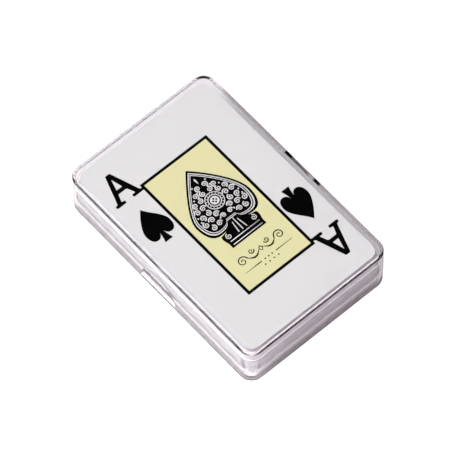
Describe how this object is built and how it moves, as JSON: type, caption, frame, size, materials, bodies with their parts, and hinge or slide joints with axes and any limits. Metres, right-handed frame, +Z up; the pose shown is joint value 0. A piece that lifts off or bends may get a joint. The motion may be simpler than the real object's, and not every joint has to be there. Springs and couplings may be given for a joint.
{
  "type": "playing card case with deck",
  "caption": "Clear plastic tray and slip-over lid with thumb notches, holding a full deck of bridge-size playing cards, the ace of spades face up.",
  "frame": {"origin": "middle of the tray's underside, on the surface that the case stands on", "axes": "+Y along the cards, towards the top of the upturned ace; +X across the cards; +Z up, the way the lid lifts off"},
  "size_m": [0.0622, 0.094, 0.0194],
  "materials": {
    "clear_plastic": "polished, clear crystal polystyrene",
    "card_stock": "smooth coated card, satin, with red patterned backs",
    "black_ink": "satin black print on card",
    "panel_ink": "satin pale yellow print on card"
  },
  "bodies": {
    "base": {"base_tray": "clear_plastic"},
    "deck_lower": {"card_joker_first": "card_stock", "card_joker_second": "card_stock", "card_hearts_king": "card_stock", "card_hearts_queen": "card_stock", "card_hearts_jack": "card_stock", "card_hearts_ten": "card_stock", "card_hearts_nine": "card_stock", "card_hearts_eight": "card_stock", "card_hearts_seven": "card_stock", "card_hearts_six": "card_stock", "card_hearts_five": "card_stock", "card_hearts_four": "card_stock", "card_hearts_three": "card_stock", "card_hearts_two": "card_stock", "card_hearts_ace": "card_stock", "card_clubs_king": "card_stock", "card_clubs_queen": "card_stock", "card_clubs_jack": "card_stock", "card_clubs_ten": "card_stock", "card_clubs_nine": "card_stock", "card_clubs_eight": "card_stock", "card_clubs_seven": "card_stock", "card_clubs_six": "card_stock", "card_clubs_five": "card_stock", "card_clubs_four": "card_stock", "card_clubs_three": "card_stock", "card_clubs_two": "card_stock", "card_clubs_ace": "card_stock"},
    "deck_upper": {"card_diamonds_king": "card_stock", "card_diamonds_queen": "card_stock", "card_diamonds_jack": "card_stock", "card_diamonds_ten": "card_stock", "card_diamonds_nine": "card_stock", "card_diamonds_eight": "card_stock", "card_diamonds_seven": "card_stock", "card_diamonds_six": "card_stock", "card_diamonds_five": "card_stock", "card_diamonds_four": "card_stock", "card_diamonds_three": "card_stock", "card_diamonds_two": "card_stock", "card_diamonds_ace": "card_stock", "card_spades_king": "card_stock", "card_spades_queen": "card_stock", "card_spades_jack": "card_stock", "card_spades_ten": "card_stock", "card_spades_nine": "card_stock", "card_spades_eight": "card_stock", "card_spades_seven": "card_stock", "card_spades_six": "card_stock", "card_spades_five": "card_stock", "card_spades_four": "card_stock", "card_spades_three": "card_stock", "card_spades_two": "card_stock"},
    "top_card": {"card_spades_ace": "card_stock"},
    "lid": {"lid": "clear_plastic"}
  },
  "joints": [
    {"name": "deck_lift", "type": "slide", "parent": "base", "child": "deck_lower", "axis": [0, 0, 1], "range_m": [0, 0.03]},
    {"name": "cut_lift", "type": "slide", "parent": "deck_lower", "child": "deck_upper", "axis": [0, 0, 1], "range_m": [0, 0.03]},
    {"name": "top_card_lift", "type": "slide", "parent": "deck_upper", "child": "top_card", "axis": [0, 0, 1], "range_m": [0, 0.03]},
    {"name": "lid_lift", "type": "slide", "parent": "top_card", "child": "lid", "axis": [0, 0, 1], "range_m": [0, 0.03]}
  ]
}
